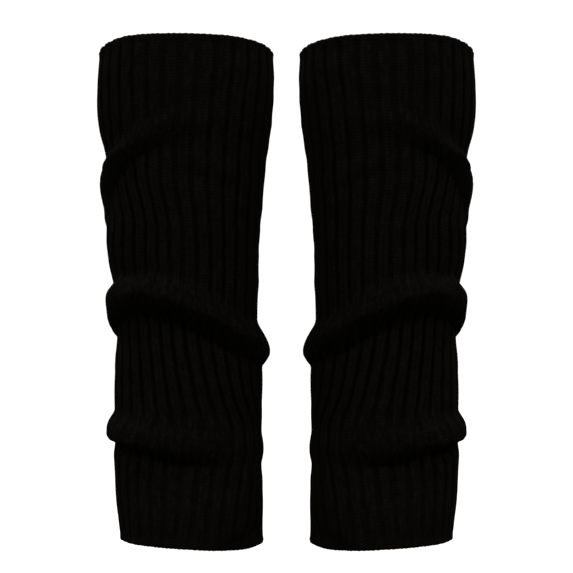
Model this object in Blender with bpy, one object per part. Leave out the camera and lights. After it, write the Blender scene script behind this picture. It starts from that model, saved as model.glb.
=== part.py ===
"""A pair of ribbed knit leg warmers, as worn: two open tubes of cloth, mirror images of each other.

Frame: metres, +Z up, the front of the legs faces -Y, and the mirror plane of the pair is X = 0.
The origin lies midway between the two legs, at the height where each calf holds its tube.
Each tube is one closed wall. Its outer face is a leg's rounded section, widened by three folds
where the cloth has slipped down the leg, and its inner face follows WALL behind that.
"""

from math import cos, radians, sin

import bmesh
import bpy
from mathutils import Vector

MM = 0.001

AXIS_X = 72.5  # mm from the mirror plane to each tube's own axis
WALL = 3.0  # mm, the thickness of a chunky two by two rib
COLUMNS = 36  # facets round a tube
COMPASS_STEP = 45  # degrees between the directions that the compass tables name

# Half widths of the leg under the cloth, in mm from the tube's axis, down from the top edge.
# outer is the side away from the other leg, inner the side that faces it.
SECTION_NAMES = ("height", "outer", "inner", "front", "back")
SECTIONS = (
    (24, 61.8, 62.6, 60.0, 62.5),
    (0, 63.7, 63.8, 60.0, 64.5),
    (-30, 63.0, 61.7, 58.5, 66.0),
    (-55, 57.2, 58.1, 56.5, 65.0),
    (-85, 55.7, 55.7, 55.5, 62.5),
    (-115, 56.3, 53.2, 54.0, 59.5),
    (-130, 54.7, 52.7, 53.0, 58.0),
    (-145, 51.2, 52.6, 52.0, 56.5),
    (-180, 48.4, 51.6, 50.5, 54.0),
    (-205, 49.7, 55.4, 50.0, 53.0),
    (-240, 49.9, 54.9, 50.0, 53.0),
    (-275, 49.9, 55.0, 50.5, 53.5),
    (-305, 47.6, 56.0, 51.5, 54.0),
    (-336, 43.6, 56.2, 52.0, 54.5),
)

# Heights in mm of the two open edges. Every compass table below starts at the front and turns
# towards the inner side: front, front inner, inner, back inner, back, back outer, outer, front outer.
TOP_EDGE = (21.3, 21.7, 20.2, 19.6, 19.4, 19.4, 18.8, 22.3)
BOTTOM_EDGE = (-327.6, -330.3, -327.6, -328.0, -327.6, -326.8, -325.2, -326.0)

# Each fold is a roll of slack cloth. crest is the height of its fullest line, bulge how far it
# stands off the leg, above and below how far it reaches up and down from the crest, all in mm, and
# full is how flat the roll is next to its crest.
UPPER_FOLD = {
    "crest": (-41.0, -37.0, -40.0, -54.0, -70.0, -80.0, -76.0, -58.0),
    "bulge": (1.6, 0.3, 0.3, 2.2, 3.0, 3.6, 5.2, 4.9),
    "above": (18.0, 17.0, 17.0, 18.0, 20.0, 20.0, 12.5, 17.0),
    "below": (9.0, 10.0, 15.0, 18.0, 22.0, 32.0, 30.0, 12.5),
    "full": (1.5, 1.6, 1.8, 1.8, 1.8, 1.7, 1.7, 1.5),
}
MIDDLE_FOLD = {
    "crest": (-162.5, -183.0, -192.0, -188.0, -181.0, -173.0, -167.5, -155.5),
    "bulge": (10.2, 10.0, 7.0, 6.0, 5.0, 5.4, 6.2, 9.6),
    "above": (21.0, 21.0, 21.5, 19.0, 18.0, 18.0, 18.5, 17.0),
    "below": (16.0, 15.5, 12.0, 13.0, 15.0, 17.0, 15.5, 17.0),
    "full": (1.4, 1.4, 2.0, 2.0, 2.0, 2.2, 3.6, 1.5),
}
LOWER_FOLD = {
    "crest": (-261.5, -262.5, -263.5, -262.0, -257.0, -252.5, -251.5, -256.5),
    "bulge": (6.4, 1.2, 1.4, 2.0, 3.4, 4.0, 5.4, 6.8),
    "above": (23.0, 20.0, 14.0, 16.0, 17.0, 17.0, 16.0, 22.0),
    "below": (10.5, 10.0, 9.0, 11.0, 12.0, 7.0, 4.2, 6.5),
    "full": (1.4, 1.6, 1.8, 1.8, 1.8, 1.8, 2.4, 1.5),
}
FOLDS = (UPPER_FOLD, MIDDLE_FOLD, LOWER_FOLD)

FULLER_ABOVE = 0.4  # a roll is flatter just above its crest than just below
FOOT_ABOVE, FOOT_BELOW = 2.0, 1.05  # how softly it runs out into the leg

# Facet rows in each stretch down the tube: edge to fold, up a fold, down it, to the next one.
BAND_ROWS = (3, 3, 3, 2, 5, 5, 2, 3, 3, 3)

KNIT_COLOUR = (0.008, 0.007, 0.004, 1.0)
KNIT_ROUGHNESS = 0.95


def clear_scene():
    """Remove whatever the open file holds."""
    for item in list(bpy.data.objects):
        bpy.data.objects.remove(item)


def hermite(before, start, end, after, part):
    """A smooth curve from start to end through evenly spaced values, part going from 0 to 1."""
    leave = (end - before) / 2
    arrive = (after - start) / 2
    rest = 1 - part
    return (
        start * (1 + 2 * part) * rest * rest
        + leave * part * rest * rest
        + end * part * part * (3 - 2 * part)
        - arrive * part * part * rest
    )


def round_the_leg(values, angle):
    """A compass table read at an angle in degrees from the front, towards the inner side."""
    place = (angle % 360) / COMPASS_STEP
    first = int(place)
    near = [values[(first + step) % len(values)] for step in (-1, 0, 1, 2)]
    return hermite(*near, place - first)


def down_the_leg(name, height):
    """A column of SECTIONS read at a height in mm."""
    column = SECTION_NAMES.index(name)
    last = len(SECTIONS) - 1
    row = 0
    while row < last - 1 and height < SECTIONS[row + 1][0]:
        row += 1
    picks = [SECTIONS[min(max(row + step, 0), last)] for step in (-1, 0, 1, 2)]
    part = (picks[1][0] - height) / (picks[1][0] - picks[2][0])
    return hermite(*(pick[column] for pick in picks), min(max(part, 0.0), 1.0))


def roll(fold, angle, height):
    """How far a fold lifts the cloth off the leg at an angle and a height, in mm."""
    over = height - round_the_leg(fold["crest"], angle)
    part = min(abs(over) / round_the_leg(fold["above" if over > 0 else "below"], angle), 1.0)
    full = round_the_leg(fold["full"], angle)
    if over > 0:
        shape = (1 - part ** (full + FULLER_ABOVE)) ** FOOT_ABOVE
    else:
        shape = (1 - part**full) ** FOOT_BELOW
    return round_the_leg(fold["bulge"], angle) * shape


def cloth_point(angle, height):
    """A point of the outer face, in mm, for the tube on the -X side."""
    turn = radians(angle)
    wide = down_the_leg("inner" if sin(turn) > 0 else "outer", height)
    deep = down_the_leg("front" if cos(turn) > 0 else "back", height)
    lift = sum(roll(fold, angle, height) for fold in FOLDS)
    return Vector(
        (
            (wide + lift) * sin(turn) - AXIS_X,
            -(deep + lift) * cos(turn),
            height,
        )
    )


def guide_heights(angle):
    """Heights that the rows of facets follow: both edges, and each fold's start, crest and end."""
    guides = [round_the_leg(TOP_EDGE, angle)]
    for fold in FOLDS:
        crest = round_the_leg(fold["crest"], angle)
        guides.append(crest + round_the_leg(fold["above"], angle))
        guides.append(crest)
        guides.append(crest - round_the_leg(fold["below"], angle))
    guides.append(round_the_leg(BOTTOM_EDGE, angle))
    return guides


def row_heights(angle):
    """The height of each row of corners down one column."""
    guides = guide_heights(angle)
    heights = [guides[0]]
    for top, bottom, rows in zip(guides, guides[1:], BAND_ROWS):
        heights += [top + (bottom - top) * row / rows for row in range(1, rows + 1)]
    return heights


def outer_grid():
    """Corners of the outer face, a list of rows from the top edge down."""
    angles = [360 * column / COLUMNS for column in range(COLUMNS)]
    columns = [[cloth_point(angle, height) for height in row_heights(angle)] for angle in angles]
    return [list(row) for row in zip(*columns)]


def inner_grid(outer):
    """The same corners moved WALL into the cloth, square to the outer face."""
    last = len(outer) - 1
    inner = []
    for row, corners in enumerate(outer):
        above = outer[max(row - 1, 0)]
        below = outer[min(row + 1, last)]
        moved = []
        for column, corner in enumerate(corners):
            across = corners[(column + 1) % COLUMNS] - corners[column - 1]
            inward = across.cross(above[column] - below[column]).normalized()
            if row in (0, last):
                inward = Vector((inward.x, inward.y, 0)).normalized()
            moved.append(corner + inward * -WALL)
        inner.append(moved)
    return inner


def add_wall(mesh, rows, others):
    """Join the outer and inner corners into one closed wall that is open at both ends."""
    outside = [[mesh.verts.new(corner * MM) for corner in row] for row in rows]
    inside = [[mesh.verts.new(corner * MM) for corner in row] for row in others]
    loops = outside + inside[::-1]
    for upper, lower in zip(loops, loops[1:] + loops[:1]):
        for column in range(COLUMNS):
            after = (column + 1) % COLUMNS
            mesh.faces.new((upper[column], lower[column], lower[after], upper[after]))


def knit_material():
    """Near-black warm cotton and acrylic yarn."""
    material = bpy.data.materials.new("black_rib_knit")
    material.use_nodes = True
    shader = material.node_tree.nodes["Principled BSDF"]
    shader.inputs["Base Color"].default_value = KNIT_COLOUR
    shader.inputs["Roughness"].default_value = KNIT_ROUGHNESS
    shader.inputs["Metallic"].default_value = 0.0
    return material


def leg_warmer(name, side, material):
    """One knitted tube. side is -1 for the leg at -X, and 1 for its mirror image at +X."""
    outer = outer_grid()
    inner = inner_grid(outer)
    build = bmesh.new()
    add_wall(build, outer, inner)
    if side > 0:
        bmesh.ops.scale(build, vec=(-1, 1, 1), verts=build.verts)
        bmesh.ops.reverse_faces(build, faces=build.faces)
    mesh = bpy.data.meshes.new(name)
    build.to_mesh(mesh)
    build.free()
    mesh.materials.append(material)
    mesh.shade_smooth()
    piece = bpy.data.objects.new(name, mesh)
    bpy.context.collection.objects.link(piece)
    return piece


def main():
    """Build the pair."""
    clear_scene()
    knit = knit_material()
    for name, side in (("leg_warmer_left", -1), ("leg_warmer_right", 1)):
        leg_warmer(name, side, knit)


main()
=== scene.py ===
"""Looks for a pair of worn, near-black rib-knit leg warmers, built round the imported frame."""

from math import cos, pi, radians, sin

import bpy
import numpy as np
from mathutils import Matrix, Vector


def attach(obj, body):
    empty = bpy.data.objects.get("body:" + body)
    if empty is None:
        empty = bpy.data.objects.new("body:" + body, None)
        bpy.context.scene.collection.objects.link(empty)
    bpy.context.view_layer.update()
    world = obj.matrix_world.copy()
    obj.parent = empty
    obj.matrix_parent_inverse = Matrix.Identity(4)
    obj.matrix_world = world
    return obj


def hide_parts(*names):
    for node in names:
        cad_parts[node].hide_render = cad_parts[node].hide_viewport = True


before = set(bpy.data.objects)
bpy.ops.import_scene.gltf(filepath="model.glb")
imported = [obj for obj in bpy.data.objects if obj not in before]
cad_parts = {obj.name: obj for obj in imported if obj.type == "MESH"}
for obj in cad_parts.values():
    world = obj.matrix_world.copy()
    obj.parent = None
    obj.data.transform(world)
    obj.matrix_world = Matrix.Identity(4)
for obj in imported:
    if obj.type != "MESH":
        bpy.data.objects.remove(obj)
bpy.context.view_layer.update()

MM = 0.001

# ---------------------------------------------------------------- the form
# The same sizes as the frame's solids, in mm. The leg at -X is made, and the one at +X is its
# mirror image. A compass table starts at the front and turns towards the other leg: front,
# front inner, inner, back inner, back, back outer, outer, front outer.
AXIS_X = 72.5  # from the mirror plane to a tube's own axis
COMPASS_STEP = 45  # degrees
SECTION_NAMES = ("height", "outer", "inner", "front", "back")
SECTIONS = (
    (24, 61.8, 62.6, 60.0, 62.5),
    (0, 63.7, 63.8, 60.0, 64.5),
    (-30, 63.0, 61.7, 58.5, 66.0),
    (-55, 57.2, 58.1, 56.5, 65.0),
    (-85, 55.7, 55.7, 55.5, 62.5),
    (-115, 56.3, 53.2, 54.0, 59.5),
    (-130, 54.7, 52.7, 53.0, 58.0),
    (-145, 51.2, 52.6, 52.0, 56.5),
    (-180, 48.4, 51.6, 50.5, 54.0),
    (-205, 49.7, 55.4, 50.0, 53.0),
    (-240, 49.9, 54.9, 50.0, 53.0),
    (-275, 49.9, 55.0, 50.5, 53.5),
    (-305, 47.6, 56.0, 51.5, 54.0),
    (-336, 43.6, 56.2, 52.0, 54.5),
)
TOP_EDGE = (21.3, 21.7, 20.2, 19.6, 19.4, 19.4, 18.8, 22.3)
BOTTOM_EDGE = (-327.6, -330.3, -327.6, -328.0, -327.6, -326.8, -325.2, -326.0)
UPPER_FOLD = {
    "crest": (-41.0, -37.0, -40.0, -54.0, -70.0, -80.0, -76.0, -58.0),
    "bulge": (1.6, 0.3, 0.3, 2.2, 3.0, 3.6, 5.2, 4.9),
    "above": (18.0, 17.0, 17.0, 18.0, 20.0, 20.0, 12.5, 17.0),
    "below": (9.0, 10.0, 15.0, 18.0, 22.0, 32.0, 30.0, 12.5),
    "full": (1.5, 1.6, 1.8, 1.8, 1.8, 1.7, 1.7, 1.5),
}
MIDDLE_FOLD = {
    "crest": (-162.5, -183.0, -192.0, -188.0, -181.0, -173.0, -167.5, -155.5),
    "bulge": (10.2, 10.0, 7.0, 6.0, 5.0, 5.4, 6.2, 9.6),
    "above": (21.0, 21.0, 21.5, 19.0, 18.0, 18.0, 18.5, 17.0),
    "below": (16.0, 15.5, 12.0, 13.0, 15.0, 17.0, 15.5, 17.0),
    "full": (1.4, 1.4, 2.0, 2.0, 2.0, 2.2, 3.6, 1.5),
}
LOWER_FOLD = {
    "crest": (-261.5, -262.5, -263.5, -262.0, -257.0, -252.5, -251.5, -256.5),
    "bulge": (6.4, 1.2, 1.4, 2.0, 3.4, 4.0, 5.4, 6.8),
    "above": (23.0, 20.0, 14.0, 16.0, 17.0, 17.0, 16.0, 22.0),
    "below": (10.5, 10.0, 9.0, 11.0, 12.0, 7.0, 4.2, 6.5),
    "full": (1.4, 1.6, 1.8, 1.8, 1.8, 1.8, 2.4, 1.5),
}
FOLDS = (UPPER_FOLD, MIDDLE_FOLD, LOWER_FOLD)
FULLER_ABOVE = 0.4  # a roll is flatter just above its crest than just below
FOOT_ABOVE, FOOT_BELOW = 2.0, 1.05  # how softly it runs out into the leg

# ---------------------------------------------------------------- the knit
RIBS = 30  # two knit wales stand up in each, and two purl wales sink between them
# Mesh columns in a rib's pitch, from the middle of one groove on. Most lie on the grooves' sides.
RIB_COLUMNS = (0.0, 0.07, 0.14, 0.23, 0.35, 0.5, 0.65, 0.77, 0.86, 0.93)
GROOVE_FLOOR, GROOVE_TOP = 0.03, 0.23  # of a rib's pitch, where a groove's side starts and ends
SHALLOW = 2.4  # mm deep, below which a groove is pulled open wider
PULLED_OPEN = 0.15  # of a rib's pitch, that the flattest groove's side ends further out
WALE_DIP = 0.45  # mm, between a rib's two wales
WALE_DIP_HALF = 0.07  # of a rib's pitch
FULLY_SLACK = 3.5  # mm that a fold stands off the leg, for its cloth to be fully slack
GROOVES_CLOSE = 0.8  # of its depth, that a groove loses in slack cloth
WALES_PART = 1.1  # of the dip between two wales, that it gains in slack cloth
CLOTH = 2.2  # mm through the fabric at any one place
COURSE = 2.3  # mm from one row of stitches to the next
RIPPLES = 3  # in a rib's pitch, along both cast-off edges
RIPPLE = 0.12  # mm
EDGE_REACH = 5.0  # mm over which the cast-off rows hold the ribs flatter and the ripple dies out
EDGE_FLATTER = 0.6  # of a groove's depth, at the very edge
BEAD = 0.5  # mm that the cast-off stitches stand out
BEAD_REACH = 2.2  # mm

# Kinds of unevenness: its size, the random seed, and the cells round the leg and down it.
CREST_WANDERS = (1.2, 11, 80, 6)  # mm, up and down
ROLL_VARIES = (0.07, 12, 34, 24)  # of how far a roll stands off the leg
FACE_VARIES = (0.3, 13, 36, 40)  # mm, in and out
RIBS_WANDER = (1.8, 14, 60, 34)  # degrees round the leg, in slack cloth

# How deep the grooves are, in mm: a compass row at each height in mm. Stretched cloth is flatter.
GROOVE_DEPTHS = (
    (20, (1.2, 1.9, 2.5, 2.4, 2.2, 2.4, 2.6, 2.2)),
    (-60, (1.7, 2.4, 2.8, 2.4, 2.2, 2.4, 2.7, 2.5)),
    (-120, (2.2, 2.7, 2.9, 2.4, 2.3, 2.5, 2.7, 2.8)),
    (-200, (2.7, 2.7, 2.8, 2.5, 2.4, 2.6, 2.7, 2.8)),
    (-250, (2.3, 2.4, 2.5, 2.4, 2.3, 2.4, 2.5, 2.5)),
    (-290, (1.2, 1.4, 1.8, 1.8, 1.7, 1.8, 2.0, 1.5)),
    (-333, (1.0, 1.0, 1.3, 1.5, 1.4, 1.4, 1.4, 1.1)),
)

# Which way the ribs lean round the leg, in degrees: a compass row at each height in mm.
RIB_LEAN = (
    (10, (-0.5, -1, -2.5, -1, 0, 2, 6.5, 3.5)),
    (-22, (-1, -4, -3, -1, 0, 2, 7, 4)),
    (-38, (-2.5, -4.5, -3, -1, 0, 1, 5.5, 4)),
    (-50, (-3.5, -4.5, -3, -1, 0, 0, 3, 2)),
    (-66, (-4, -4, -2, -1, 0, 0, 1.5, 1)),
    (-80, (-4, -3.5, 1, 1, 1, 1, 3, 3)),
    (-97, (-1, -3.5, 1, 2, 3, 4, 7, 8)),
    (-112, (1.5, -2, 2, 3, 5, 8, 13, 11.5)),
    (-138, (2, -1.5, 2, 4, 6, 7, 8.5, 9.5)),
    (-185, (3.5, -3, 0, 3, 6, 7, 8.5, 9.5)),
    (-202, (6, -1.5, 0, 3, 6, 9, 12.5, 12.5)),
    (-224, (11, 4, 4, 6, 8, 10, 13, 15)),
    (-245, (15.5, 15, 11, 9, 8, 9, 10, 17)),
    (-286, (12, 9, 10, 9, 8, 8, 8, 8.5)),
    (-303, (10, 6, 7, 8, 8, 8, 9, 10)),
    (-333, (7, 5, 6, 7, 7, 8, 11, 7.5)),
)

# Small creases: angle from the front in degrees and height in mm of the middle, half length in
# degrees, rise in mm along that, half width in mm, and how far it stands up or sinks in mm.
WRINKLE_NAMES = ("angle", "height", "reach", "rise", "width", "lift")
WRINKLES = (
    # Along the upper fold, and the small crease that falls below it at the front.
    (-52, -58, 26, 9.5, 4.0, 1.5),
    (-6, -38, 26, 4.0, 5.0, 0.9),
    (20, -68, 28, -7.5, 5.0, 1.5),
    (21, -78, 29, -7.5, 4.0, -1.5),
    # Puckers on the lower fold, and a soft crease above it.
    (-49, -247, 8, 0, 5.0, 1.3),
    (-27, -250, 8, -1, 5.0, 1.3),
    (-8, -253, 9, -1, 5.0, 0.7),
    (62, -228, 26, -8, 5.0, 0.7),
    # Round the back.
    (150, -98, 30, 6, 5.0, 1.0),
    (185, -118, 34, -7, 6.0, 0.9),
    (215, -135, 28, 5, 5.0, -0.8),
    (130, -222, 30, -6, 5.0, 0.9),
    (205, -216, 26, 7, 5.0, 0.8),
    (250, -296, 24, -4, 6.0, 0.6),
    # Dents under the lower fold.
    (-37, -275, 5, 0, 8.0, -1.2),
    (-22, -272, 5, 0, 6.0, -0.9),
    # The hem: its inner corner curls in, and the rest turns a little towards the leg.
    (52, -328, 28, 8, 8.0, -6.5),
    (-25, -288, 45, 0, 15.0, -1.6),
    (0, -350, 70, 0, 30.0, -4.5),
    # Fuller cloth at the front inner side, and the hollow under the lower fold's outer end.
    (50, -268, 24, -4, 22.0, 2.5),
    (52, -296, 24, 0, 24.0, 2.5),
    (-55, -264, 30, -5, 4.5, -2.4),
)
CREASE_TAPER = 1.5  # how fast a crease dies out towards its ends

# Mesh rows in each stretch down the tube: edge to fold, up the fold, down it, to the next one.
BAND_ROWS = (22, 22, 18, 26, 28, 36, 18, 24, 16, 36)
INNER_STEP = 4  # one row inside for so many outside
EDGE_TURN = 4  # steps round a cast-off edge
BAKE_INSIDE = 0.3  # of the outside's scale on the bake map, for both edges' turns and the inside


def add_object(name, data):
    """A new object in the scene, from its mesh, camera or light."""
    item = bpy.data.objects.new(name, data)
    bpy.context.collection.objects.link(item)
    return item


def hermite(before, start, end, after, part):
    """A smooth curve from start to end through evenly spaced values, part going from 0 to 1."""
    leave = (end - before) / 2
    arrive = (after - start) / 2
    rest = 1 - part
    return (
        start * (1 + 2 * part) * rest * rest
        + leave * part * rest * rest
        + end * part * part * (3 - 2 * part)
        - arrive * part * part * rest
    )


def smooth_step(values):
    """0 below 0, 1 above 1, and a soft S between."""
    part = np.clip(values, 0, 1)
    return part * part * (3 - 2 * part)


def round_the_leg(values, angles):
    """A compass table read at angles in degrees from the front, towards the other leg."""
    table = np.asarray(values, float)
    place = np.mod(angles, 360) / COMPASS_STEP
    first = np.floor(place).astype(int)
    near = [table[(first + step) % len(table)] for step in (-1, 0, 1, 2)]
    return hermite(*near, place - first)


def down_the_leg(stations, readings, heights):
    """Readings at falling stations, each a number or an array, read at heights in mm."""
    last = len(stations) - 1
    total = 0.0
    for row in range(last):
        top, bottom = stations[row], stations[row + 1]
        part = np.clip((top - heights) / (top - bottom), 0, 1)
        before, after = readings[max(row - 1, 0)], readings[min(row + 2, last)]
        here = hermite(before, readings[row], readings[row + 1], after, part)
        under_top = (heights <= top) | (row == 0)
        over_bottom = (heights > bottom) | (row == last - 1)
        total = total + np.where(under_top & over_bottom, here, 0)
    return total


def half_width(name, heights):
    """One of the section's four half widths at heights in mm."""
    column = SECTION_NAMES.index(name)
    stations = [row[0] for row in SECTIONS]
    return down_the_leg(stations, [row[column] for row in SECTIONS], heights)


def unevenness(kind, turns, drops):
    """Soft random values of a kind of unevenness, which close round the leg. turns and drops go
    from 0 to 1 round the leg and down it."""
    size, seed, cells_round, cells_down = kind
    draws = np.random.default_rng(seed).uniform(-1, 1, (cells_down + 4, cells_round))
    across, down = np.mod(turns, 1) * cells_round, np.clip(drops, 0, 1) * cells_down
    column, row = np.floor(across).astype(int), np.floor(down).astype(int)
    rows = []
    for step_down in range(4):
        near = [draws[row + step_down, (column + step) % cells_round] for step in (-1, 0, 1, 2)]
        rows.append(hermite(*near, across - column))
    return size * hermite(*rows, down - row)


def roll(fold, angles, heights, ragged):
    """How far a fold lifts the cloth off the leg, in mm. ragged moves its crest up and down."""
    over = heights - round_the_leg(fold["crest"], angles) - ragged
    bulge = round_the_leg(fold["bulge"], angles)
    above = np.clip(over / round_the_leg(fold["above"], angles), 0, 1)
    below = np.clip(-over / round_the_leg(fold["below"], angles), 0, 1)
    full = round_the_leg(fold["full"], angles)
    upper = (1 - above ** (full + FULLER_ABOVE)) ** FOOT_ABOVE
    lower = (1 - below**full) ** FOOT_BELOW
    return bulge * np.where(over > 0, upper, lower)


def slackness(fold, angles, heights):
    """How slack a fold's cloth is, from 0 to 1. It eases off above the fold, and ends below it."""
    over = heights - round_the_leg(fold["crest"], angles)
    above = np.clip(over / round_the_leg(fold["above"], angles), 0, None)
    below = np.clip(-over / round_the_leg(fold["below"], angles), 0, None)
    size = smooth_step(round_the_leg(fold["bulge"], angles) / FULLY_SLACK)
    return size * np.exp(-(above**3) - below**4)


def guide_heights(angles):
    """Heights that the mesh rows follow: both edges, and each fold's start, crest and end."""
    guides = [round_the_leg(TOP_EDGE, angles)]
    for fold in FOLDS:
        crest = round_the_leg(fold["crest"], angles)
        guides.append(crest + round_the_leg(fold["above"], angles))
        guides.append(crest)
        guides.append(crest - round_the_leg(fold["below"], angles))
    guides.append(round_the_leg(BOTTOM_EDGE, angles))
    return np.array(guides)


def row_heights(angles):
    """The height of every mesh point, from its angle. Both are arrays of rows and columns."""
    last = len(BAND_ROWS) - 1
    bands = [band for band, rows in enumerate(BAND_ROWS) for _ in range(rows)] + [last]
    parts = [row / rows for rows in BAND_ROWS for row in range(rows)] + [1.0]
    guides = guide_heights(angles)
    rows = np.arange(len(bands))
    top, bottom = guides[bands, rows], guides[np.add(bands, 1), rows]
    return top + (bottom - top) * np.array(parts)[:, None]


def over_the_leg(table, angles, heights):
    """A table of compass rows at falling heights, read at angles and heights."""
    stations = [height for height, _ in table]
    return down_the_leg(stations, [round_the_leg(row, angles) for _, row in table], heights)


def leaning(even):
    """Angles and heights of the mesh points, with the ribs leaning as the cloth pulls them."""
    angles = even + over_the_leg(RIB_LEAN, even, row_heights(even))
    return angles, row_heights(angles)


def wrinkled(angles, heights):
    """The small creases' height, in mm."""
    total = np.zeros_like(heights)
    for row in WRINKLES:
        crease = dict(zip(WRINKLE_NAMES, row))
        along = (np.mod(angles - crease["angle"] + 180, 360) - 180) / crease["reach"]
        off = (heights - crease["height"] - crease["rise"] * along) / crease["width"]
        total += crease["lift"] * np.exp(-(along**2) * CREASE_TAPER - off**2)
    return total


def leg_surface(angles, heights):
    """Points of the cloth's smooth face, in mm, and how slack it is, from 0 to 1."""
    turn = np.radians(angles)
    turns, drops = angles / 360, (TOP_EDGE[0] - heights) / (TOP_EDGE[0] - BOTTOM_EDGE[0])
    wide = np.where(np.sin(turn) > 0, half_width("inner", heights), half_width("outer", heights))
    deep = np.where(np.cos(turn) > 0, half_width("front", heights), half_width("back", heights))
    ragged = unevenness(CREST_WANDERS, turns, drops)
    lift = sum(roll(fold, angles, heights, ragged) for fold in FOLDS)
    slack = sum(slackness(fold, angles, heights) for fold in FOLDS)
    lift = lift * (1 + unevenness(ROLL_VARIES, turns, drops))
    lift = lift + wrinkled(angles, heights) + unevenness(FACE_VARIES, turns, drops)
    across = (wide + lift) * np.sin(turn) - AXIS_X
    return np.stack((across, -(deep + lift) * np.cos(turn), heights), axis=-1), slack


def cloth_run(smooth):
    """How far down the cloth each point lies from the top edge, in mm."""
    steps = np.linalg.norm(np.diff(smooth, axis=0), axis=-1)
    return np.concatenate((np.zeros_like(steps[:1]), np.cumsum(steps, axis=0)))


def outward(points):
    """Unit normals of a grid of points that closes round the leg."""
    across = np.roll(points, -1, axis=1) - np.roll(points, 1, axis=1)
    normal = np.cross(np.gradient(points, axis=0), across)
    return normal / np.linalg.norm(normal, axis=-1, keepdims=True)


def rib_relief(phases, depths, slack):
    """Height of the cloth over its smooth face, in mm."""
    near = np.abs(np.mod(phases + 0.5, 1) - 0.5)
    side_end = GROOVE_TOP + PULLED_OPEN * np.clip(1 - depths / SHALLOW, 0, 1)
    rise = smooth_step((near - GROOVE_FLOOR) / (side_end - GROOVE_FLOOR))
    dip = np.exp(-(((near - 0.5) / WALE_DIP_HALF) ** 2))
    return depths * (rise - 1) - WALE_DIP * (1 + WALES_PART * slack) * dip


def edge_turn(start, end, way):
    """Rows that carry the cloth round a cast-off edge, from one face to the other."""
    middle, half = (start + end) / 2, (start - end) / 2
    turned = np.linalg.norm(half, axis=-1, keepdims=True) * np.array((0, 0, way))
    steps = np.arange(1, EDGE_TURN) * pi / EDGE_TURN
    return np.array([middle + half * cos(step) + turned * sin(step) for step in steps])


def softened(rows):
    """Rows of points, with each but the first and last drawn halfway to those next to it."""
    between = (rows[:-2] + rows[2:]) / 2
    return np.concatenate((rows[:1], (rows[1:-1] + between) / 2, rows[-1:]))


def tube_loops():
    """The tube's closed loops of points, down its outside and up its inside, and what the yarn
    needs to know at each: rib and course, groove depth, and how slack the cloth is."""
    phases = np.array([rib + part for rib in range(RIBS) for part in RIB_COLUMNS])
    rows = sum(BAND_ROWS) + 1
    even = np.tile(phases * 360 / RIBS, (rows, 1))
    angles, heights = leaning(even)
    # The ribs wander where the cloth is slack, so the surface is read again once they have.
    slack = leg_surface(angles, heights)[1]
    drops = np.linspace(0, 1, rows)[:, None]
    angles = angles + slack * unevenness(RIBS_WANDER, even / 360, drops)
    smooth, slack = leg_surface(angles, heights)
    run = cloth_run(smooth)
    whole = run[-1]
    courses = run / whole * round(whole.mean() / COURSE)
    by_top, by_bottom = (np.exp(-((off / EDGE_REACH) ** 2)) for off in (run, whole - run))
    normals = outward(smooth)
    depths = over_the_leg(GROOVE_DEPTHS, angles, heights) * (1 - GROOVES_CLOSE * slack)
    depths = depths * (1 - EDGE_FLATTER * (by_top + by_bottom))
    relief = rib_relief(phases, depths, slack)
    swell = BEAD * np.exp(-((np.minimum(run, whole - run) / BEAD_REACH) ** 2))
    out = (relief + swell)[..., None]
    back = (relief - CLOTH - swell)[..., None]
    smooth[..., 2] += RIPPLE * np.cos(2 * pi * RIPPLES * phases) * (by_top - by_bottom)
    outside, inside = smooth + normals * out, smooth + normals * back
    # kept are the inside's rows, from the bottom up, and origin is each loop's own outside row.
    kept = [*range(0, rows - 1, INNER_STEP), rows - 1][::-1]
    bottom = edge_turn(outside[-1], inside[-1], -1)
    top = edge_turn(inside[0], outside[0], 1)
    points = np.concatenate((outside, bottom, softened(inside[kept]), top))
    origin = [*range(rows), *[rows - 1] * len(bottom), *kept, *[0] * len(top)]
    # Knit wales are purl wales on the inside, so the rib is half a pitch on there.
    ribs = phases + (np.arange(len(origin)) >= rows)[:, None] / 2
    return points, ribs, courses[origin], depths[origin], slack[origin]


def corner_values(grid):
    """A value for each face's four corners, from a grid of rows and columns one wider each way."""
    return np.stack((grid[:-1, :-1], grid[1:, :-1], grid[1:, 1:], grid[:-1, 1:]), axis=-1)


def closed(grid):
    """A grid with its first row and first column again at the end."""
    taller = np.concatenate((grid, grid[:1]))
    return np.concatenate((taller, taller[:, :1]), axis=1)


def bake_rows(points):
    """How far down the bake map each closed loop lies, from 0 to 1, by the cloth between loops."""
    steps = np.linalg.norm(np.diff(points, axis=0, append=points[:1]), axis=-1).mean(axis=1)
    steps[sum(BAND_ROWS):] *= BAKE_INSIDE
    return np.concatenate(((0,), np.cumsum(steps))) / steps.sum()


def knit_tube(name, side, material):
    """One leg warmer as a closed, hollow mesh with its knit map and bake map. side is -1 or 1."""
    points, ribs, courses, depths, slack = tube_loops()
    faces = corner_values(closed(np.arange(ribs.size).reshape(ribs.shape)))
    whole_turn = np.concatenate((ribs, ribs[:, :1] + RIBS), axis=1)
    ribs = np.concatenate((whole_turn, whole_turn[-1:]))
    knit = np.stack((corner_values(ribs), corner_values(closed(courses))), axis=-1)
    unrolled = np.meshgrid(whole_turn[0] / RIBS, bake_rows(points))
    bake = np.stack([corner_values(grid) for grid in unrolled], axis=-1)
    if side > 0:
        faces, knit, bake = faces[..., ::-1], knit[..., ::-1, :], bake[..., ::-1, :]
    places = points.reshape(-1, 3) * MM * (-side, 1, 1)
    mesh = bpy.data.meshes.new(name)
    mesh.from_pydata(places, [], faces.reshape(-1, 4))
    for layer, values in (("knit", knit), ("OFBake", bake)):
        mesh.uv_layers.new(name=layer).data.foreach_set("uv", values.ravel())
    for layer, values in (("groove_depth", depths), ("slack", slack)):
        mesh.attributes.new(layer, "FLOAT", "POINT").data.foreach_set("value", values.ravel())
    mesh.materials.append(material)
    mesh.shade_smooth()
    mesh.update()
    return add_object(name, mesh)


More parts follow.
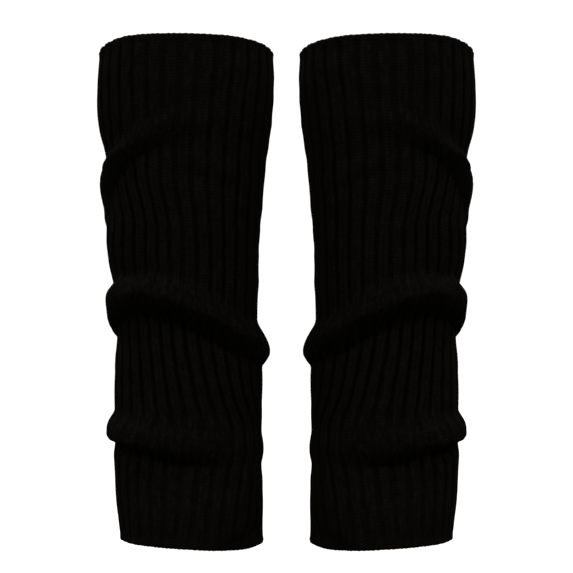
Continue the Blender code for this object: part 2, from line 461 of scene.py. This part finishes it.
# ---------------------------------------------------------------- the yarn
YARN_DARK = (0.0014, 0.0011, 0.0003, 1)
YARN_LIGHT = (0.0080, 0.0068, 0.0043, 1)
SMOOTHEST, ROUGHEST = 0.82, 1.0  # the shader's roughness, as the fuzz varies
FINISH = {
    "Specular IOR Level": 0.05,
    "Sheen Weight": 0.008,
    "Sheen Roughness": 0.6,
    "Sheen Tint": (1.0, 0.9, 0.75, 1),
}

# Across a rib, in parts of its pitch from the dip between its two wales.
# How far the painted shade in the dip between two wales reaches.
DIP_SHADE_ENDS = 0.10
WALE_WIDTH = 0.34
KNIT_ENDS, PURL_STARTS = 0.29, 0.44
KNIT_ENDS_OPEN, PURL_STARTS_OPEN = -0.1, -0.06  # added to those where a groove is pulled open
OPEN_DEPTH, CLOSED_DEPTH = 0.9, 2.2  # mm deep, for a groove that is pulled open and one that isn't

# Heights of the stitches, in parts of a knit stitch's own.
STITCH_RISE = 0.55  # of a course, that each leg of a knit stitch's V rises
LEG_SIDES = 0.4  # at the sides of each leg of the V
PURL_BAR, PURL_FLOOR = 0.6, -0.3
FUZZ_BUMP, UNEVEN_BUMP = 0.3, 0.7  # of the fuzz, and from one stitch to the next
BUMP_STRENGTH = 0.45
BUMP_HEIGHT = 0.0006  # metres

# Noise: its scale, its detail and, for the fuzz, its roughness.
STITCH_NOISE = (0.9, 1.0)  # from one stitch to the next
STREAK_NOISE = (0.8, 2.0)  # along the wales
STRAND_NOISE = (1.7, 1.0)  # along the wales
PATCH_NOISE = (45.0, 3.0)  # over the whole cloth
FUZZ_NOISE = (1500.0, 3.0, 0.7)
NOISE_LOW, NOISE_HIGH = 0.3, 0.7  # the range that is spread out
WALES_PER_RIB = 4.0
STREAK_STRETCH = 0.28  # of a course's length, for streaks that run along the wales
YARNS_PER_RIB = 8.0

# How the yarn's level changes, in parts of it: painted shade in the grooves, the dips, the gaps
# between yarns, the stitches' hollows and over slack fold cloth, and random tone from the streaks,
# strands, stitches and patches. A slack value counts only in slack cloth.
# Painted shade in the grooves, darker the deeper they are.
GROOVE_PAINTED_SHADE_PER_MM = -0.3  # for each mm of a groove's depth
# Painted shade in the dip between a rib's two wales, deeper in slack cloth.
DIP_PAINTED_SHADE, SLACK_DIP_PAINTED_SHADE = -0.12, -0.45
STREAKS, SLACK_STREAKS = 0.3, 0.1  # either way
SLACK_STRANDS = 0.5  # either way
# Painted shade between two yarns of slack cloth, lighter on the yarns themselves.
SLACK_YARN_GAP_PAINTED_SHADE = 0.6  # darker between two yarns, and lighter by the rest of 1 on them
# Painted shade all over slack fold cloth, darkening the folds' tops and undersides.
SLACK_PAINTED_SHADE = -0.43  # all over
STITCH_LEVELS = (0.8, 1.2)
PATCH_LEVELS = (0.92, 1.08)
# Painted shade in the stitches' hollows: the lower parts of their relief are darker.
LOW_STITCH, HIGH_STITCH = -0.2, 0.9  # the stitch heights that the next levels belong to
HOLLOW_PAINTED_SHADE_LEVELS = (0.8, 1.05)

# A Mix node's colour sockets, which share their names with those for numbers.
MIX_FACTOR, MIX_START, MIX_END, MIX_RESULT = 0, 6, 7, 2


class Nodes:
    """Short calls for one material's nodes."""

    def __init__(self, material):
        material.use_nodes = True
        self.tree = material.node_tree
        self.shader = self.tree.nodes["Principled BSDF"]

    def add(self, kind, inputs=None, **settings):
        """A new shader node."""
        node = self.tree.nodes.new("ShaderNode" + kind)
        for name, value in settings.items():
            setattr(node, name, value)
        for name, value in (inputs or {}).items():
            self.feed(node.inputs[name], value)
        return node

    def feed(self, socket, value):
        """Link another node's output to a socket, or set a value on it."""
        if isinstance(value, bpy.types.NodeSocket):
            self.tree.links.new(value, socket)
        else:
            socket.default_value = value

    def finish(self, values):
        """Set or link the shader's own sockets, by name."""
        for name, value in values.items():
            self.feed(self.shader.inputs[name], value)

    def maths(self, operation, *values):
        """A Math node's result."""
        return self.add("Math", dict(enumerate(values)), operation=operation).outputs[0]

    def hump(self, part):
        """0 at part 0 and 1, and 1 at part 0.5."""
        centred = self.maths("MULTIPLY_ADD", part, 2.0, -1.0)
        return self.maths("SUBTRACT", 1.0, self.maths("MULTIPLY", centred, centred))

    def step(self, value, start, end, low=0.0, high=1.0):
        """From low to high in a soft S, while the value goes from start to end."""
        levels = {"Value": value, "From Min": start, "From Max": end, "To Min": low, "To Max": high}
        return self.add("MapRange", levels, interpolation_type="SMOOTHSTEP").outputs["Result"]

    def spread(self, noise, low, high):
        """Noise spread out between low and high."""
        return self.step(noise, NOISE_LOW, NOISE_HIGH, low, high)

    def blend(self, factor, start, end):
        """Two numbers mixed."""
        inputs = {"Factor": factor, "A": start, "B": end}
        return self.add("Mix", inputs, data_type="FLOAT").outputs["Result"]

    def tint(self, level, dark, light):
        """A colour from dark at level 0 through light at level 1 and beyond."""
        mix = self.add("Mix", data_type="RGBA", clamp_factor=False)
        for index, value in ((MIX_FACTOR, level), (MIX_START, dark), (MIX_END, light)):
            self.feed(mix.inputs[index], value)
        return mix.outputs[MIX_RESULT]

    def noise(self, place, scale, detail, roughness=0.5):
        """Noise texture, mostly between 0.3 and 0.7."""
        inputs = {"Vector": place, "Scale": scale, "Detail": detail, "Roughness": roughness}
        return self.add("TexNoise", inputs).outputs["Fac"]


def purl_part(nodes, from_dip, depth):
    """0 on a rib's knit wales and 1 in its purl groove, which is wider where it is pulled open."""
    opened = nodes.step(depth, OPEN_DEPTH, CLOSED_DEPTH, 1.0, 0.0)
    start = nodes.maths("MULTIPLY_ADD", opened, KNIT_ENDS_OPEN, KNIT_ENDS)
    end = nodes.maths("MULTIPLY_ADD", opened, PURL_STARTS_OPEN, PURL_STARTS)
    return nodes.step(from_dip, start, end)


def stitch_height(nodes, from_dip, courses, purl):
    """The relief of the stitches: V stitches on the knit wales and bars on the purl wales."""
    wale = nodes.maths("MULTIPLY", from_dip, 1 / WALE_WIDTH)
    leg = nodes.maths("ABSOLUTE", nodes.maths("MULTIPLY_ADD", wale, 2.0, -1.0))
    stitch = nodes.maths("FRACT", nodes.maths("MULTIPLY_ADD", leg, STITCH_RISE, courses))
    strand = nodes.maths("MULTIPLY_ADD", nodes.hump(leg), 1 - LEG_SIDES, LEG_SIDES)
    knit_height = nodes.maths("MULTIPLY", nodes.hump(stitch), strand)
    bar = nodes.hump(nodes.maths("FRACT", nodes.maths("ADD", courses, 0.5)))
    purl_height = nodes.maths("MULTIPLY_ADD", bar, PURL_BAR, PURL_FLOOR)
    return nodes.blend(purl, knit_height, purl_height)


def product(nodes, factors):
    """All the factors multiplied."""
    total, *others = factors
    for factor in others:
        total = nodes.maths("MULTIPLY", total, factor)
    return total


def knit_material():
    """Near-black yarn in a two by two rib: V stitches on the ribs, purl bars in the grooves, and
    painted shade in the grooves, the dips, the gaps between yarns, the stitches' hollows and over
    slack fold cloth.
    """
    material = bpy.data.materials.new("near_black_rib_knit")
    nodes = Nodes(material)
    knit = nodes.add("SeparateXYZ", {"Vector": nodes.add("UVMap", uv_map="knit").outputs["UV"]})
    ribs, courses = knit.outputs["X"], knit.outputs["Y"]
    depth = nodes.add("Attribute", attribute_name="groove_depth").outputs["Fac"]
    slack = nodes.add("Attribute", attribute_name="slack").outputs["Fac"]
    place = nodes.add("TexCoord").outputs["Object"]

    from_dip = nodes.maths("ABSOLUTE", nodes.maths("SUBTRACT", nodes.maths("FRACT", ribs), 0.5))
    purl = purl_part(nodes, from_dip, depth)
    # The dip between two wales gets painted shade.
    dip = nodes.step(from_dip, 0.0, DIP_SHADE_ENDS, 1.0, 0.0)
    height = stitch_height(nodes, from_dip, courses, purl)
    wales = nodes.maths("MULTIPLY", ribs, WALES_PER_RIB)
    stitches = nodes.add("CombineXYZ", {"X": wales, "Y": courses}).outputs["Vector"]
    long_stitches = nodes.maths("MULTIPLY", courses, STREAK_STRETCH)
    runs = nodes.add("CombineXYZ", {"X": wales, "Y": long_stitches}).outputs["Vector"]
    uneven = nodes.noise(stitches, *STITCH_NOISE)
    strands = nodes.noise(runs, *STRAND_NOISE)
    yarns = nodes.hump(nodes.maths("FRACT", nodes.maths("MULTIPLY", ribs, YARNS_PER_RIB)))
    fuzz = nodes.noise(place, *FUZZ_NOISE)

    # Painted shade in the purl grooves, by their depth.
    painted_groove_shade = nodes.maths("MULTIPLY", nodes.maths("MULTIPLY", purl, depth), GROOVE_PAINTED_SHADE_PER_MM)
    painted_dip_shade = nodes.maths("MULTIPLY_ADD", slack, SLACK_DIP_PAINTED_SHADE, DIP_PAINTED_SHADE)
    streak_range = nodes.maths("MULTIPLY_ADD", slack, SLACK_STREAKS, STREAKS)
    streaks = nodes.spread(nodes.noise(runs, *STREAK_NOISE), -1.0, 1.0)
    strand_levels = nodes.spread(strands, -SLACK_STRANDS, SLACK_STRANDS)
    # Painted shade in the gaps between the yarns of slack cloth.
    painted_yarn_gap_shade = nodes.maths("SUBTRACT", yarns, SLACK_YARN_GAP_PAINTED_SHADE)
    level = product(nodes, (
        nodes.maths("ADD", 1.0, painted_groove_shade),
        nodes.maths("ADD", 1.0, nodes.maths("MULTIPLY", dip, painted_dip_shade)),
        nodes.maths("ADD", 1.0, nodes.maths("MULTIPLY", streaks, streak_range)),
        nodes.maths("MULTIPLY_ADD", strand_levels, slack, 1.0),
        nodes.maths("MULTIPLY_ADD", painted_yarn_gap_shade, slack, 1.0),
        # Painted shade over slack fold cloth.
        nodes.maths("MULTIPLY_ADD", slack, SLACK_PAINTED_SHADE, 1.0),
        nodes.spread(uneven, *STITCH_LEVELS),
        nodes.spread(nodes.noise(place, *PATCH_NOISE), *PATCH_LEVELS),
        # Painted shade in the stitches' hollows.
        nodes.step(height, LOW_STITCH, HIGH_STITCH, *HOLLOW_PAINTED_SHADE_LEVELS),
    ))

    bump_height = nodes.maths("MULTIPLY_ADD", fuzz, FUZZ_BUMP, height)
    bump_height = nodes.maths("MULTIPLY_ADD", uneven, UNEVEN_BUMP, bump_height)
    relief = {"Strength": BUMP_STRENGTH, "Distance": BUMP_HEIGHT, "Height": bump_height}
    nodes.finish({
        "Base Color": nodes.tint(level, YARN_DARK, YARN_LIGHT),
        "Roughness": nodes.spread(fuzz, SMOOTHEST, ROUGHEST),
        "Normal": nodes.add("Bump", relief).outputs["Normal"],
    })
    nodes.finish(FINISH)
    return material


# ---------------------------------------------------------------- the studio
SENSOR = 36.0  # mm
CAMERA_AWAY = 1.1  # metres in front of the legs
CAMERA_HEIGHT = -0.2145  # metres from the origin, as are the heights below
AIM_HEIGHT = -0.1475
FRAME_WIDTH = 0.4103  # metres across the picture at the legs
FLOOR_HEIGHT = -0.62
FLOOR_HALF = 30.0  # metres from its middle to each side
FLOOR_CORNERS = ((-1, -1), (1, -1), (1, 1), (-1, 1))
FLOOR_PAINT = {
    "Base Color": (0.9, 0.9, 0.9, 1),
    "Roughness": 0.9,
    "Emission Color": (1, 1, 1, 1),
    "Emission Strength": 0.72,
}
WORLD_LIGHT, WORLD_SEEN = 0.05, 1.1  # the world's strength for the cloth, and for the camera
SUN_SOFTNESS = 20.0  # degrees

# Where each sun stands, in degrees round from the front and above the horizon, and its strength.
SUNS = (
    ("left key", -35, 41, 0.66),
    ("right key", 35, 41, 0.66),
    ("left side", -115, 55, 0.34),
    ("right side", 115, 55, 0.34),
    ("back", 180, 38, 0.3),
)


def add_camera():
    """Level with the folds and looking slightly up, as in the picture."""
    data = bpy.data.cameras.new("camera")
    item = add_object("camera", data)
    item.location = (0, -CAMERA_AWAY, CAMERA_HEIGHT)
    aim = Vector((0, 0, AIM_HEIGHT)) - item.location
    item.rotation_euler = aim.to_track_quat("-Z", "Y").to_euler()
    data.sensor_width = SENSOR
    data.lens = SENSOR * aim.length / FRAME_WIDTH
    bpy.context.scene.camera = item


def add_sun(name, azimuth, elevation, strength):
    """A broad soft light."""
    data = bpy.data.lights.new(name, "SUN")
    data.angle = radians(SUN_SOFTNESS)
    data.energy = strength
    item = add_object(name, data)
    turn, tilt = radians(azimuth), radians(elevation)
    source = Vector((sin(turn) * cos(tilt), -cos(turn) * cos(tilt), sin(tilt)))
    item.rotation_euler = source.to_track_quat("Z", "Y").to_euler()


def add_floor():
    """A pale floor far below the garment, which lights nothing."""
    mesh = bpy.data.meshes.new("floor")
    corners = [(x * FLOOR_HALF, y * FLOOR_HALF, FLOOR_HEIGHT) for x, y in FLOOR_CORNERS]
    mesh.from_pydata(corners, [], [(0, 1, 2, 3)])
    paint = bpy.data.materials.new("pale_floor")
    Nodes(paint).finish(FLOOR_PAINT)
    mesh.materials.append(paint)
    floor = add_object("floor", mesh)
    floor.visible_diffuse = False
    floor.visible_glossy = False


def add_world():
    """White all round, for the camera more than for the cloth."""
    world = bpy.data.worlds.new("world")
    bpy.context.scene.world = world
    world.use_nodes = True
    tree = world.node_tree
    back = tree.nodes["Background"]
    back.inputs["Color"].default_value = (1, 1, 1, 1)
    path = tree.nodes.new("ShaderNodeLightPath")
    level = tree.nodes.new("ShaderNodeMapRange")
    level.inputs["To Min"].default_value = WORLD_LIGHT
    level.inputs["To Max"].default_value = WORLD_SEEN
    tree.links.new(path.outputs["Is Camera Ray"], level.inputs["Value"])
    tree.links.new(level.outputs["Result"], back.inputs["Strength"])


def add_studio():
    """Floor, world and soft light from above, shown without a tone curve."""
    add_floor()
    add_world()
    for name, azimuth, elevation, strength in SUNS:
        add_sun(name, azimuth, elevation, strength)
    bpy.context.scene.view_settings.view_transform = "Standard"


knit = knit_material()
for node, side in (("leg_warmer_left", -1), ("leg_warmer_right", 1)):
    piece = knit_tube(node.replace("leg_warmer", "rib_knit"), side, knit)
    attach(piece, "root")
    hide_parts(node)
add_studio()
add_camera()
